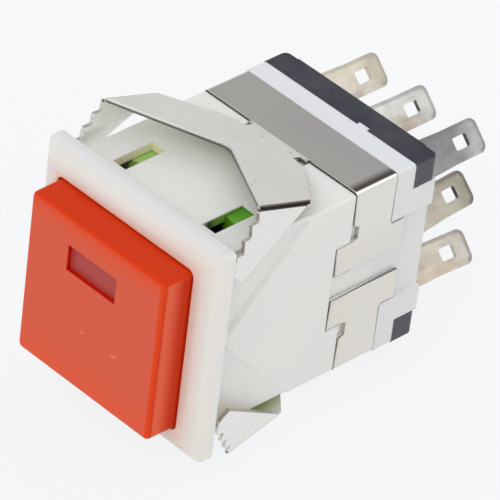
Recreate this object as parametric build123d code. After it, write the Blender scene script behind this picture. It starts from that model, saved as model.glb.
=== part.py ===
from build123d import *
import math
import os

# Square illuminated push button switch for a panel. Millimetres.
# The origin is the centre of the flange's rear face, which is the panel's front face.
# -Y points out of the panel towards the finger, +Y runs back to the terminals, +Z is up.

# ---- driving sizes -------------------------------------------------------
# flange and housing
flange_size = 20.0
flange_thickness = 2.1
flange_corner = 0.45
flange_front_round = 1.7
flange_overhang_x = 1.3
flange_overhang_z = 1.4
rear_step = 0.2
body_length = 23.3
housing_edge = 0.25
well_wall = 0.83
well_depth = 7.4
ledge_thickness = 0.8
ledge_width = 0.7
cavity_wall = 1.3
flap_pocket_depth = 0.3
flap_pocket_start = 0.5
flap_pocket_slope = 55.0
slot_width = 1.5
slot_spacing = 10.2
slot_start = 1.8
slot_length = 4.3

# button cap and what sits in it
cap_draft = 0.075
cap_proud = 2.85
cap_skirt = 1.0
cap_wall = 1.1
cap_front_wall = 1.4
cap_edge_round = 0.45
cap_corner = 0.5
window_width = 5.5
window_height = 2.4
window_depth = 0.45
window_left = -0.25
window_above = 3.9
diffuser_thickness = 0.6

# plunger
button_travel = 2.3
plate_thickness = 1.8
arm_thickness = 1.2
arm_height = 12.4
snap_depth = 0.25
snap_length = 0.8
snap_height = 6.2
leg_width = 2.0
leg_height = 1.1
fork_depth = 0.55
prong_length = 0.45
tongue_width = 2.2
tongue_height = 1.0
tongue_front = 4.5
tongue_skin = 0.25
tongue_slant = 0.5

# black terminal base
base_thickness = 2.5
base_bar_height = 2.35
base_edge = 0.15
base_corner = 0.6
plug_length = 3.3
key_width = 1.1
key_depth = 0.35
key_offset = 2.5

# terminals
column_pitch = 5.6
row_pitch = 5.4
row_centre = 0.2
lug_thickness = 0.4
lug_root_width = 3.4
lug_width = 3.0
lug_length = 8.2
lug_shoulder = 4.6
lug_corner = 0.7
lug_hole_width = 1.1
lug_hole_length = 1.5
lug_hole_from_tip = 2.2
lug_hole_corner = 0.15
lug_lift = 0.15
lug_turn = 45.0
stem_width = 2.2
pad_size = 2.4
pad_thickness = 0.5
common_lean = -3.0
open_lean = 3.5

# rocker contacts
rocker_tilt = 10.0
rocker_width = 2.0
rocker_thickness = 0.4
rocker_overhang = 0.2
contact_radius = 0.8
contact_shank = 0.45
fixed_contact_radius = 1.0
fixed_contact_height = 0.45
pivot_radius = 0.4
ear_thickness = 0.35
ear_width = 1.5

# lamp and its holder
lamp_radius = 2.3
lamp_length = 15.6
holder_radius = 3.2
holder_length = 11.0
seat_radius = 4.05
seat_thickness = 0.8
seat_from_base = 0.8
finger_width = 1.6
finger_gap = 1.4

# return spring
spring_wire = 0.5
spring_turns = 4.5

# mounting clips
clip_thickness = 0.35
band_length = 4.5
band_start = 14.25
clip_bend = 0.45
tab_bottom = 1.15
foot_top = 4.0
foot_front = 12.8
foot_length = 7.5
tab_relief = 0.8
tab_relief_height = 1.5
tab_step = 0.2
foot_taper = 0.15
top_spring_rise = 17.5
bottom_spring_rise = 14.5
root_relief = 0.9
spring_root = 6.6
spring_neck = 5.4
neck_start = 0.2
neck_end = 1.3
spring_shoulder = 8.4
shoulder_at = 1.6
spring_reach = 11.6
spring_crotch = 5.9
crotch_round = 1.0
spring_overhang = 0.25
flap_bend = 0.45
top_flap_splay = 7.0
bottom_flap_splay = 10.0
flap_back = 5.8
flap_depth = 6.2
flap_tip_back = 0.1
flap_nose_rise = 0.6
flap_nose_round = 0.9
tooth_count = 3
first_tooth = 1.25
tooth_pitch = 1.27
tooth_rake = 0.23
tooth_lead = 0.42
tooth_length = 0.7
tooth_slope = 0.2

# clearances
cap_gap = 0.12
slide_gap = 0.1
fit_gap = 0.05
pivot_gap = 0.05
fork_gap = 0.07
contact_gap = 0.03
overcut = 1.0

# ---- places worked out from the sizes ------------------------------------
half_body = flange_size / 2 - flange_overhang_x
half_height = flange_size / 2 - flange_overhang_z
half_rear = half_height + rear_step
body_width = 2 * half_body
half_cavity = half_height - cavity_wall
half_well = half_height - well_wall
half_cap = half_well - cap_gap
half_span = half_body + spring_overhang
band_end = band_start + band_length
bars_start = body_length - base_thickness
plug_front = bars_start - plug_length
pad_front = plug_front - pad_thickness
ledge_rear = well_depth + ledge_thickness
plate_rear = ledge_rear + plate_thickness
cap_front = -flange_thickness - cap_proud
cap_inner_front = cap_front + cap_front_wall
diffuser_rear = cap_inner_front + diffuser_thickness
half_cap_inner = half_cap - cap_wall
contact_face = pad_front - fixed_contact_height
tilt_sine = math.sin(math.radians(rocker_tilt))
tilt_cosine = math.cos(math.radians(rocker_tilt))
contact_reach = row_pitch * tilt_sine + rocker_thickness / 2 * tilt_cosine + contact_radius
pivot_y = contact_face - contact_gap - contact_reach
fork_arm = button_travel / (2 * tilt_sine)
fork_y = pivot_y - fork_arm * tilt_sine
seat_front = plug_front - seat_from_base - seat_thickness


def block(x_range, y_range, z_range):
    """A box between two corners."""
    size = [high - low for low, high in (x_range, y_range, z_range)]
    centre = [(low + high) / 2 for low, high in (x_range, y_range, z_range)]
    return Pos(*centre) * Box(*size)


def square_bar(half, y_start, y_end):
    """A square bar along Y, centred on the press axis."""
    return block((-half, half), (y_start, y_end), (-half, half))


def rounded_bar(y_range, half_high, low=None):
    """A body-wide bar along Y with its long outer edges rounded."""
    bar = block((-half_body, half_body), y_range, (-half_high, half_high))
    bar = fillet(bar.edges().filter_by(Axis.Y), housing_edge)
    return bar if low is None else bar - block((-body_width, body_width), y_range, (-low, low))


def along_y(radius, y_start, y_end, x=0.0, z=0.0):
    """A round bar along Y."""
    middle = Pos(x, (y_start + y_end) / 2, z)
    return middle * Rot(90, 0, 0) * Cylinder(radius, y_end - y_start)


def along_x(radius, length, x, y, z):
    """A round bar along X, centred on a point."""
    return Pos(x, y, z) * Rot(0, 90, 0) * Cylinder(radius, length)


def side_prism(points, x_start, x_end):
    """A prism along X from an outline given as (y, z) points."""
    outline = Plane.YZ * make_face(Polyline(*points, close=True))
    return Pos(x_start, 0, 0) * extrude(outline, x_end - x_start)


def both_sides(piece):
    """The piece and its mirror image left of the middle."""
    return piece + mirror(piece, Plane.YZ)


def both_ends(piece):
    """The piece and its mirror image below the middle."""
    return piece + mirror(piece, Plane.XY)


# ---- housing -------------------------------------------------------------
def flange():
    """Square plate with a large round along its front edges, mitred at the corners."""
    half = flange_size / 2
    slab = square_bar(half, -flange_thickness, 0)
    front_edges = slab.faces().sort_by(Axis.Y)[0].edges()
    across = fillet(front_edges.filter_by(Axis.Z), flange_front_round)
    upright = fillet(front_edges.filter_by(Axis.X), flange_front_round)
    outline = fillet(slab.edges().filter_by(Axis.Y), flange_corner)
    return across & upright & outline


def flap_pocket():
    """Shallow corner of the side wall, with sloping sides, that the clip's flap folds into."""
    start = flap_pocket_start
    points = [(0, 0), (start, 0), (start + half_height, half_height), (0, half_height)]
    floor_x = half_body - flap_pocket_depth
    floor = Plane.YZ.offset(floor_x) * make_face(Polyline(*points, close=True))
    hollow = extrude(floor, flap_pocket_depth + fit_gap, taper=-flap_pocket_slope)
    behind_flange = block((floor_x, half_body + overcut), (0, body_length), (-half_height, 2 * half_height))
    return both_sides(both_ends(hollow & behind_flange))


def clip_seats():
    """Channels for the clip's band, tabs and feet."""
    depth = clip_thickness + fit_gap
    floor_z = half_rear - depth
    band_y = (band_start - fit_gap, band_end + fit_gap)
    band = block((-half_body, half_body), band_y, (floor_z, half_rear + overcut))
    side_x = (half_body - depth, half_body + overcut)
    tab = block(side_x, band_y, (foot_top, half_rear + overcut))
    foot_y = (foot_front - slide_gap, body_length + overcut)
    foot = block(side_x, foot_y, (-foot_top - fit_gap, foot_top + fit_gap))
    root_half = spring_root / 2 + slide_gap
    root_y = (band_start - root_relief, band_end)
    root = block((-root_half, root_half), root_y, (floor_z, half_rear + overcut))
    return both_ends(band + root) + both_sides(both_ends(tab)) + both_sides(foot)


def plunger_slots():
    slot_x = (slot_spacing / 2 - slot_width / 2, slot_spacing / 2 + slot_width / 2)
    slot_y = (slot_start, slot_start + slot_length)
    slot = block(slot_x, slot_y, (half_cavity - overcut, half_height + overcut))
    return both_sides(both_ends(slot))


def housing():
    body = rounded_bar((0, bars_start), half_height)
    rim = rounded_bar((band_start, bars_start), half_rear, half_height - overcut)
    cheek_z = half_rear - base_bar_height
    cheeks = block((-half_body, half_body), (bars_start, body_length), (-cheek_z, cheek_z))
    shell = body + rim + cheeks + flange()
    well = square_bar(half_well, -flange_thickness - overcut, well_depth)
    shell -= fillet(well.edges().filter_by(Axis.Y), cap_corner + cap_gap)
    shell -= square_bar(half_cavity - ledge_width, 0, ledge_rear)
    shell -= square_bar(half_cavity, ledge_rear, body_length + overcut)
    shell -= flap_pocket() + clip_seats() + plunger_slots() + plunger_tongues(fit_gap, button_travel)
    shell += base_key(0)
    return shell


def base_key(gap):
    """Small key on the housing's top rear edge that sets the base the right way up."""
    key_x = (key_offset - key_width / 2 - gap, key_offset + key_width / 2 + gap)
    key_y = (bars_start - gap, bars_start + key_depth + gap)
    return block(key_x, key_y, (half_cavity, half_rear + gap))


# ---- terminal base -------------------------------------------------------
def terminal_places():
    """Name, x, z and lean of each lug, row by row."""
    left, right = -column_pitch, column_pitch
    top, bottom = row_centre + row_pitch, row_centre - row_pitch
    return {
        "left_closed_terminal": (left, top, 0),
        "left_common_terminal": (left, row_centre, 0),
        "left_open_terminal": (left, bottom, 0),
        "right_closed_terminal": (right, top, 0),
        "right_common_terminal": (right, row_centre, common_lean),
        "right_open_terminal": (right, bottom, open_lean),
        "upper_lamp_terminal": (0, top, 0),
        "lower_lamp_terminal": (0, bottom, 0),
    }


def is_outer_rear(edge):
    """True for the base's straight upper and lower edges on its rear face."""
    centre = edge.center()
    straight = abs(centre.X) < fit_gap and abs(centre.Z) > half_rear - fit_gap
    return straight and centre.Y > body_length - fit_gap


def terminal_base():
    inner = half_cavity - fit_gap
    plug = square_bar(inner, plug_front, bars_start)
    plate = block((-inner, inner), (bars_start, body_length), (-half_rear, half_rear))
    slab = block((-half_body, half_body), (bars_start, body_length), (-half_rear, half_rear))
    slab = fillet(slab.edges().filter_by(Axis.Z).group_by(Axis.Y)[-1], base_corner)
    slab = fillet(slab.edges().filter_by(is_outer_rear), base_edge)
    bar_low = half_rear - base_bar_height + fit_gap
    bars = slab - block((-half_body, half_body), (bars_start, body_length), (-bar_low, bar_low))
    base = plug + plate + bars - base_key(fit_gap)
    for x, z, _ in terminal_places().values():
        base -= turned_strip(stem_width + fit_gap, lug_thickness + fit_gap,
                             plug_front, body_length, x, z)
    return base


# ---- terminals -----------------------------------------------------------
def turned_strip(width, thickness, y_start, y_end, x, z):
    """A flat strip along Y, turned about its own length like the lugs."""
    middle = Pos(x, (y_start + y_end) / 2, z)
    return middle * Rot(0, lug_turn, 0) * Box(width, y_end - y_start, thickness)


def lug(x, z, lean):
    """Flat solder lug with a square hole, from the base's rear face to its rounded tip."""
    root, half = lug_root_width / 2, lug_width / 2
    points = [(-root, lug_lift), (root, lug_lift), (half, lug_shoulder), (half, lug_length)]
    points += [(-half, lug_length), (-half, lug_shoulder)]
    outline = make_face(Polyline(*points, close=True))
    tip_corners = outline.vertices().group_by(Axis.Y)[-1]
    outline = fillet(tip_corners, lug_corner)
    hole = RectangleRounded(lug_hole_width, lug_hole_length, lug_hole_corner)
    outline -= Pos(0, lug_length - lug_hole_from_tip) * hole
    blade = extrude(outline, lug_thickness / 2, both=True)
    return Pos(x, body_length, z) * Rot(0, 0, -lean) * Rot(0, lug_turn, 0) * blade


def stem(x, z):
    stem_end = body_length + 2 * lug_lift
    return turned_strip(stem_width, lug_thickness, plug_front, stem_end, x, z)


def contact_terminal(x, z, lean):
    """Terminal that ends in a square pad under its fixed contact."""
    half = pad_size / 2
    pad = block((x - half, x + half), (pad_front, plug_front), (z - half, z + half))
    return lug(x, z, lean) + stem(x, z) + pad


def common_terminal(x, z, lean):
    """Terminal that ends in a fork, whose two ears carry the rocker's pivot."""
    inner = rocker_width / 2 + slide_gap
    outer = inner + ear_thickness
    half = ear_width / 2
    foot = block((x - outer, x + outer), (pad_front, plug_front), (z - half, z + half))
    ear_front = pivot_y - half
    ear = block((x + inner, x + outer), (ear_front + half, plug_front), (z - half, z + half))
    ear += along_x(half, ear_thickness, x + (inner + outer) / 2, pivot_y, z)
    other = mirror(ear, Plane.YZ.offset(x))
    hole = along_x(pivot_radius + pivot_gap, 2 * outer + overcut, x, pivot_y, z)
    return lug(x, z, lean) + stem(x, z) + foot + ear + other - hole


def lamp_terminal(x, z, lean):
    """Terminal that ends in a flat finger reaching in under the lamp."""
    half = finger_width / 2
    away = 1 if z > row_centre else -1
    outer_z = z + away * half
    inner_z = away * finger_gap / 2
    finger_z = (min(outer_z, inner_z), max(outer_z, inner_z))
    finger = block((x - half, x + half), (pad_front, plug_front), finger_z)
    return lug(x, z, lean) + stem(x, z) + finger


# ---- contacts ------------------------------------------------------------
def at_pivot(x, piece):
    """Puts a piece modelled about the pivot in its place, tilted to the closed contact."""
    return Pos(x, pivot_y, row_centre) * Rot(-rocker_tilt, 0, 0) * piece


def rocker_contact(x):
    upper_end = row_pitch + contact_radius
    lower_end = fork_arm + rocker_overhang
    half = rocker_width / 2
    half_thick = rocker_thickness / 2
    strip = block((-half, half), (-half_thick, half_thick), (-lower_end, upper_end))
    pin_length = 2 * (half + slide_gap + ear_thickness)
    strip += along_x(pivot_radius, pin_length, 0, 0, 0)
    for z in (-row_pitch, row_pitch):
        strip -= along_y(contact_shank, -overcut, overcut, 0, z)
    return at_pivot(x, strip)


def rocker_rivets(x):
    """The rocker's two silver contacts, domed towards the base."""
    rivets = []
    half_thick = rocker_thickness / 2
    radius = contact_radius
    for z in (-row_pitch, row_pitch):
        dome = Pos(0, half_thick, z) * Sphere(radius)
        dome &= block((-radius, radius), (half_thick, half_thick + radius), (z - radius, z + radius))
        shank = along_y(contact_shank, -half_thick, half_thick, 0, z)
        rivets.append(at_pivot(x, dome + shank))
    return Compound(children=[rivet.solid() for rivet in rivets])


def fixed_contacts():
    """The four silver contacts on the pads of the switch terminals."""
    rivets = []
    for name, (x, z, _) in terminal_places().items():
        if "closed" in name or "open" in name:
            rivets.append(along_y(fixed_contact_radius, contact_face, pad_front, x, z).solid())
    return Compound(children=rivets)


# ---- lamp ----------------------------------------------------------------
def lamp():
    rear = pad_front
    front = rear - lamp_length
    body = along_y(lamp_radius, front + lamp_radius, rear)
    return body + Pos(0, front + lamp_radius, 0) * Sphere(lamp_radius)


def lamp_holder():
    front = plug_front - holder_length
    tube = along_y(holder_radius, front, plug_front)
    tube += along_y(seat_radius, seat_front, seat_front + seat_thickness)
    tube -= along_y(lamp_radius + slide_gap, front - overcut, plug_front + overcut)
    half = finger_width / 2 + fit_gap
    finger_y = (pad_front - fit_gap, plug_front + overcut)
    return tube - block((-half, half), finger_y, (-seat_radius, seat_radius))


def return_spring():
    radius = holder_radius + slide_gap + slide_gap + spring_wire
    start = plate_rear + spring_wire / 2
    length = seat_front - spring_wire / 2 - start
    path = Helix(length / spring_turns, length, radius, center=(0, start, 0), direction=(0, 1, 0))
    section = Plane(path @ 0, z_dir=path % 0) * Circle(spring_wire / 2)
    return sweep(section, path)


# ---- button --------------------------------------------------------------
def button_cap():
    rear = Plane((0, cap_skirt, 0), x_dir=(1, 0, 0), z_dir=(0, -1, 0))
    front = Plane((0, cap_front, 0), x_dir=(1, 0, 0), z_dir=(0, -1, 0))
    rear_size = 2 * half_cap
    front_size = rear_size - 2 * cap_draft
    cap = loft([rear * Rectangle(rear_size, rear_size), front * Rectangle(front_size, front_size)])
    corner_edges = cap.edges().filter_by(lambda edge: abs(edge.tangent_at(0.5).Y) > 0.3)
    cap = fillet(corner_edges, cap_corner)
    cap = fillet(cap.faces().sort_by(Axis.Y)[0].edges(), cap_edge_round)
    cap -= square_bar(half_cap_inner, cap_inner_front, cap_skirt + overcut)
    window_x = (window_left - window_width / 2, window_left + window_width / 2)
    window_z = (window_above - window_height / 2, window_above + window_height / 2)
    cap -= block(window_x, (cap_front - overcut, cap_front + window_depth), window_z)
    return cap - snap_ribs(fit_gap)


def cap_diffuser():
    return square_bar(half_cap_inner - slide_gap, cap_inner_front, diffuser_rear)


def snap_ribs(gap):
    """Low ribs on the plunger's arms that click into the cap's skirt."""
    arm_outer = half_cap_inner - slide_gap
    rib_y = (-snap_length / 2 - gap, snap_length / 2 + gap)
    half = snap_height / 2 + gap
    rib = block((arm_outer, arm_outer + snap_depth + gap), rib_y, (-half, half))
    return both_sides(rib)


def drive_leg(x):
    """Leg that grips the rocker's lower end in a fork."""
    bottom = -half_cavity + slide_gap
    top = bottom + leg_height
    half = leg_width / 2
    slot = rocker_thickness / tilt_cosine / 2 + fork_gap
    leg_end = fork_y + slot + prong_length
    leg = block((x - half, x + half), (plate_rear, leg_end), (bottom, top))
    slot_y = (fork_y - slot, fork_y + slot)
    return leg - block((x - half, x + half), slot_y, (top - fork_depth, top))


def tongue(top, gap, travel):
    """Right upper tongue, or with a gap and a travel the groove that it slides in."""
    inner = (slot_spacing - tongue_width) / 2 - gap
    outer = (slot_spacing + tongue_width) / 2 + gap
    front = tongue_front - gap
    rear = plate_rear + travel + gap
    points = [(inner, front), (outer, front - tongue_slant), (outer, rear), (inner, rear)]
    bottom = half_cavity - slide_gap - tongue_height - gap
    outline = Plane.XY.offset(bottom) * make_face(Polyline(*points, close=True))
    return extrude(outline, top + gap - bottom)


def plunger_tongues(gap, travel):
    """Four tongues that show in the housing's slots. The right pair stands higher, under a thin skin."""
    right = tongue(half_height - tongue_skin - fit_gap, gap, travel)
    left = mirror(tongue(half_well - slide_gap, gap, travel), about=Plane.YZ)
    return both_ends(right + left)


def plunger():
    plate = square_bar(half_cavity - slide_gap, ledge_rear, plate_rear)
    arm_outer = half_cap_inner - slide_gap
    arm_x = (arm_outer - arm_thickness, arm_outer)
    arm_z = (-arm_height / 2, arm_height / 2)
    arm = block(arm_x, (diffuser_rear, ledge_rear), arm_z)
    legs = drive_leg(column_pitch) + drive_leg(-column_pitch)
    hole = along_y(holder_radius + slide_gap, ledge_rear - overcut, plate_rear + overcut)
    return plate + both_sides(arm) + snap_ribs(0) + plunger_tongues(0, 0) + legs - hole


# ---- mounting clips ------------------------------------------------------
def saddle():
    """Band over the housing with a tab and a wide foot down each side."""
    span_y = (foot_front - overcut, foot_front + foot_length + overcut)
    outer = block((-half_body, half_body), span_y, (0, half_rear))
    outer = fillet(outer.edges().filter_by(Axis.Y).group_by(Axis.Z)[-1], clip_bend)
    inner_half = half_body - clip_thickness
    inner = block((-inner_half, inner_half), span_y, (-overcut, half_rear - clip_thickness))
    inner_edges = inner.edges().filter_by(Axis.Y).group_by(Axis.Z)[-1]
    inner = fillet(inner_edges, clip_bend - clip_thickness)
    relief_top = foot_top + tab_relief_height
    relief_y = band_start + tab_relief
    front_y = band_start + tab_step
    rear_z = foot_top - tab_step / 2
    foot_rear = foot_front + foot_length
    points = [
        (band_start, half_rear + overcut), (front_y, relief_top),
        (relief_y, relief_top - tab_step), (relief_y, foot_top + tab_step / 2),
        (front_y, foot_top), (foot_front, foot_top), (foot_front + foot_taper, tab_bottom),
        (foot_rear, tab_bottom), (foot_rear, rear_z), (band_end + foot_taper, rear_z),
        (band_end - tab_step / 2, foot_top + tab_step), (band_end, half_rear + overcut),
    ]
    return (outer - inner) & side_prism(points, -half_body, half_body)


def spring_plate():
    """Y-shaped plate, modelled flat with its root on the X axis and its arms towards -Y."""
    half_root, half_neck = spring_root / 2, spring_neck / 2
    right = [(half_root, 0), (half_neck, -neck_start), (half_neck, -neck_end)]
    right += [(spring_shoulder / 2, -shoulder_at)]
    right += [(half_span, -flap_back), (half_span, -spring_reach)]
    left = [(-x, y) for x, y in reversed(right)]
    outline = make_face(Polyline(*right, (0, -spring_crotch), *left, close=True))
    crotch = outline.vertices().filter_by(lambda v: abs(v.X) < fit_gap)
    outline = fillet(crotch, crotch_round)
    return extrude(outline, -clip_thickness)


def flap(splay):
    """Right flap, folded down from the flat plate, with stepped teeth for the panel."""
    angle = math.radians(splay)
    face = Plane((half_span, 0, 0), x_dir=(0, -1, 0), z_dir=(math.cos(angle), 0, math.sin(angle)))
    points = [(flap_back, 0), (spring_reach, 0), (spring_reach, flap_bend + fit_gap)]
    for tooth in range(tooth_count):
        root = spring_reach - tooth_rake + tooth * tooth_lead
        depth = first_tooth + tooth * tooth_pitch
        points += [(root, depth), (root + tooth_length, depth + tooth_slope)]
    nose = points[-1][0]
    points += [(nose, flap_depth - flap_nose_rise), (spring_reach + flap_tip_back, flap_depth)]
    outline = make_face(Polyline(*points, close=True))
    nose_corner = outline.vertices().sort_by_distance((nose, flap_depth - flap_nose_rise, 0))[0]
    outline = face * fillet(nose_corner, flap_nose_round)
    return extrude(outline, -clip_thickness)


def is_flap_bend(edge):
    """True for the two sharp outer edges along which the flaps fold down."""
    middle = edge.center()
    return abs(abs(middle.X) - half_span) < fit_gap and abs(middle.Z) < fit_gap


def folded_spring(rise, splay):
    spring = spring_plate() + both_sides(flap(splay))
    spring = fillet(spring.edges().filter_by(is_flap_bend), flap_bend)
    return Pos(0, band_start, half_rear) * Rot(-rise, 0, 0) * spring


def mounting_clip(rise, splay):
    half_root = spring_root / 2
    knuckle_y = (band_start - clip_thickness, band_start + clip_thickness)
    knuckle = block((-half_root, half_root), knuckle_y, (half_rear - clip_thickness, half_rear))
    return saddle() + folded_spring(rise, splay) + knuckle


# ---- write each piece ----------------------------------------------------
def pieces():
    parts = {
        "housing": housing(),
        "terminal_base": terminal_base(),
        "button_cap": button_cap(),
        "cap_diffuser": cap_diffuser(),
        "plunger": plunger(),
        "return_spring": return_spring(),
        "lamp": lamp(),
        "lamp_holder": lamp_holder(),
        "fixed_contacts": fixed_contacts(),
        "top_mounting_clip": mounting_clip(top_spring_rise, top_flap_splay),
        "bottom_mounting_clip": mirror(
            mounting_clip(bottom_spring_rise, bottom_flap_splay), Plane.XY),
    }
    for name, (x, z, lean) in terminal_places().items():
        if "lamp" in name:
            parts[name] = lamp_terminal(x, z, lean)
        elif "common" in name:
            parts[name] = common_terminal(x, z, lean)
        else:
            parts[name] = contact_terminal(x, z, lean)
    for side, x in (("left", -column_pitch), ("right", column_pitch)):
        parts[side + "_rocker_contact"] = rocker_contact(x)
        parts[side + "_rocker_rivets"] = rocker_rivets(x)
    return parts


os.makedirs("parts", exist_ok=True)
for name, shape in pieces().items():
    export_step(shape, "parts/" + name + ".step")
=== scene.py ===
import math

import bpy
from mathutils import Matrix, Vector


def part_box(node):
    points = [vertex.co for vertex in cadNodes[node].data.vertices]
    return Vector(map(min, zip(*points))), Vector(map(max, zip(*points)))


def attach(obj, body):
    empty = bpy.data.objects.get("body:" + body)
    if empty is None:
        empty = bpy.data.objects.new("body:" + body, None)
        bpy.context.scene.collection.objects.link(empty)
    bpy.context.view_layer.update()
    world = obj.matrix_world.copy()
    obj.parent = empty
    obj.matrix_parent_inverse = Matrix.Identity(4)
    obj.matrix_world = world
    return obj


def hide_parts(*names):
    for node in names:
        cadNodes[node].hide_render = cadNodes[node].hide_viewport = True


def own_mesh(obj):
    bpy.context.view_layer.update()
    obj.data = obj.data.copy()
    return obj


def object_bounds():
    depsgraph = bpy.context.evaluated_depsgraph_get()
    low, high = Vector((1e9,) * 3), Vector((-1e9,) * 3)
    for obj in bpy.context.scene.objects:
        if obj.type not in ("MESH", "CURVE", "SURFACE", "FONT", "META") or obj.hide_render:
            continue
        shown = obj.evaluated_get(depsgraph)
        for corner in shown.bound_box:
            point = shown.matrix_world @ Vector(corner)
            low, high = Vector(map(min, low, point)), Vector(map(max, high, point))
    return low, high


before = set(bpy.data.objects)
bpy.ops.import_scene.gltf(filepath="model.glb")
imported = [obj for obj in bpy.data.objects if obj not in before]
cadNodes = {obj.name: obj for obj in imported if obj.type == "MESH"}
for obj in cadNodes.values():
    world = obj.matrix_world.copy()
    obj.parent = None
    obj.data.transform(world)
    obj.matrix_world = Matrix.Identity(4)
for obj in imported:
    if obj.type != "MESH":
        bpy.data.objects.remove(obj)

mm = 0.001  # the settings give lengths in millimetres
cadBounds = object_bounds()
print("frame loaded:", len(cadNodes), "nodes")


# small helpers
class Wire:
    # one socket of a material, so that masks are written as plain sums
    def __init__(self, tree, socket):
        self.tree = tree
        self.socket = socket

    def sum(self, operation, *values):
        return addNode(self.tree, "ShaderNodeMath", {"operation": operation}, values)

    def __add__(self, other):
        return self.sum("ADD", self, other)

    def __radd__(self, other):
        return self.sum("ADD", other, self)

    def __sub__(self, other):
        return self.sum("SUBTRACT", self, other)

    def __rsub__(self, other):
        return self.sum("SUBTRACT", other, self)

    def __mul__(self, other):
        return self.sum("MULTIPLY", self, other)

    def __rmul__(self, other):
        return self.sum("MULTIPLY", other, self)

    def absolute(self):
        return self.sum("ABSOLUTE", self)


def addNode(tree, kind, settings=None, inputs=None, output=0):
    node = tree.nodes.new(kind)
    for name, value in (settings or {}).items():
        setattr(node, name, value)
    if not isinstance(inputs, dict):
        inputs = dict(enumerate(inputs or ()))
    for name, value in inputs.items():
        if isinstance(value, Wire):
            tree.links.new(value.socket, node.inputs[name])
        else:
            node.inputs[name].default_value = value
    if not node.outputs:
        return None
    return Wire(tree, node.outputs[output])


def solid(colour):
    return (*colour, 1.0)


class Finish:
    # a procedural material
    def __init__(self, name):
        self.material = bpy.data.materials.new(name)
        self.material.use_nodes = True
        self.tree = self.material.node_tree
        self.tree.nodes.clear()
        self.place = self.node("ShaderNodeTexCoord", output="Object")

    def node(self, kind, settings=None, inputs=None, output=0):
        return addNode(self.tree, kind, settings, inputs, output)

    def noise(self, grain, detail=2.0, rough=0.5, stretch=(1, 1, 1), turn=(0, 0, 0)):
        mapping = {"Vector": self.place, "Scale": stretch, "Rotation": turn}
        placed = self.node("ShaderNodeMapping", {"vector_type": "POINT"}, mapping)
        inputs = {"Vector": placed, "Scale": 1 / (grain * mm), "Detail": detail, "Roughness": rough}
        return self.node("ShaderNodeTexNoise", {}, inputs)

    def clouds(self, grain, detail, low=0.35, high=0.65, rough=0.5):
        # slow changes of tone, from 0 to 1
        return self.spread(self.noise(grain, detail, rough), low, high)

    def spots(self, spacing, size):
        # 1 inside scattered round spots, 0 outside
        inputs = {"Vector": self.place, "Scale": 1 / (spacing * mm), "Randomness": 1.0}
        reach = self.node("ShaderNodeTexVoronoi", {"feature": "F1"}, inputs, "Distance")
        return self.spread(reach, size, size * 0.6)

    def spread(self, value, low, high, toLow=0.0, toHigh=1.0):
        inputs = {"Value": value, "From Min": low, "From Max": high, "To Min": toLow, "To Max": toHigh}
        return self.node("ShaderNodeMapRange", {"clamp": True}, inputs)

    def between(self, value, reach):
        # 0 to 1 from the first place to the last, in millimetres
        first, last = reach
        return self.spread(value, first * mm, last * mm)

    def blend(self, share, first, second):
        settings = {"data_type": "RGBA", "blend_type": "MIX"}
        return self.node("ShaderNodeMix", settings, {0: share, 6: first, 7: second}, 2)

    def edges(self, reach, full=0.8):
        # 1 along sharp edges, 0 on the flats
        rounded = self.node("ShaderNodeBevel", {"samples": 4}, {"Radius": reach * mm})
        flat = self.node("ShaderNodeNewGeometry", output="Normal")
        match = self.node("ShaderNodeVectorMath", {"operation": "DOT_PRODUCT"}, (rounded, flat), "Value")
        return self.spread(match, 0.995, full)

    def roughened(self, grain, middle, less, more):
        # a roughness that follows a fine grain
        return self.spread(grain, 0.3, 0.7, middle - less, middle + more)

    def softened(self, reach):
        # the surface normal with its sharp edges rounded off
        return self.node("ShaderNodeBevel", {"samples": 4}, {"Radius": reach * mm})

    def hollows(self, reach):
        # 1 in the open, towards 0 in corners and under other pieces
        return self.node("ShaderNodeAmbientOcclusion", {"samples": 8}, {"Distance": reach * mm}, "AO")

    def bump(self, height, depth, strength=1.0, under=None):
        inputs = {"Height": height, "Distance": depth * mm, "Strength": strength}
        if under is not None:
            inputs["Normal"] = under
        return self.node("ShaderNodeBump", {}, inputs)

    def axis(self, name):
        return self.node("ShaderNodeSeparateXYZ", {}, (self.place,), name)

    def facing(self, name, eitherWay=True):
        # how much the flat surface faces along an axis
        flat = self.node("ShaderNodeNewGeometry", output="Normal")
        share = self.node("ShaderNodeSeparateXYZ", {}, (flat,), name)
        return share.absolute() if eitherWay else share

    def within(self, value, centre, half, fade):
        # 1 where a value lies nearer than half to a centre, in millimetres
        return self.spread((value - centre * mm).absolute(), (half + fade) * mm, half * mm)

    def done(self, inputs):
        shader = self.node("ShaderNodeBsdfPrincipled", {}, inputs)
        self.node("ShaderNodeOutputMaterial", {}, {"Surface": shader})
        return self.material


def dress(material, *names):
    for name in names:
        for slot in cadNodes[name].material_slots:
            slot.material = material


def deselectAll():
    if bpy.context.object and bpy.context.object.mode != "OBJECT":
        bpy.ops.object.mode_set(mode="OBJECT")
    bpy.ops.object.select_all(action="DESELECT")


deselectAll()

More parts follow.
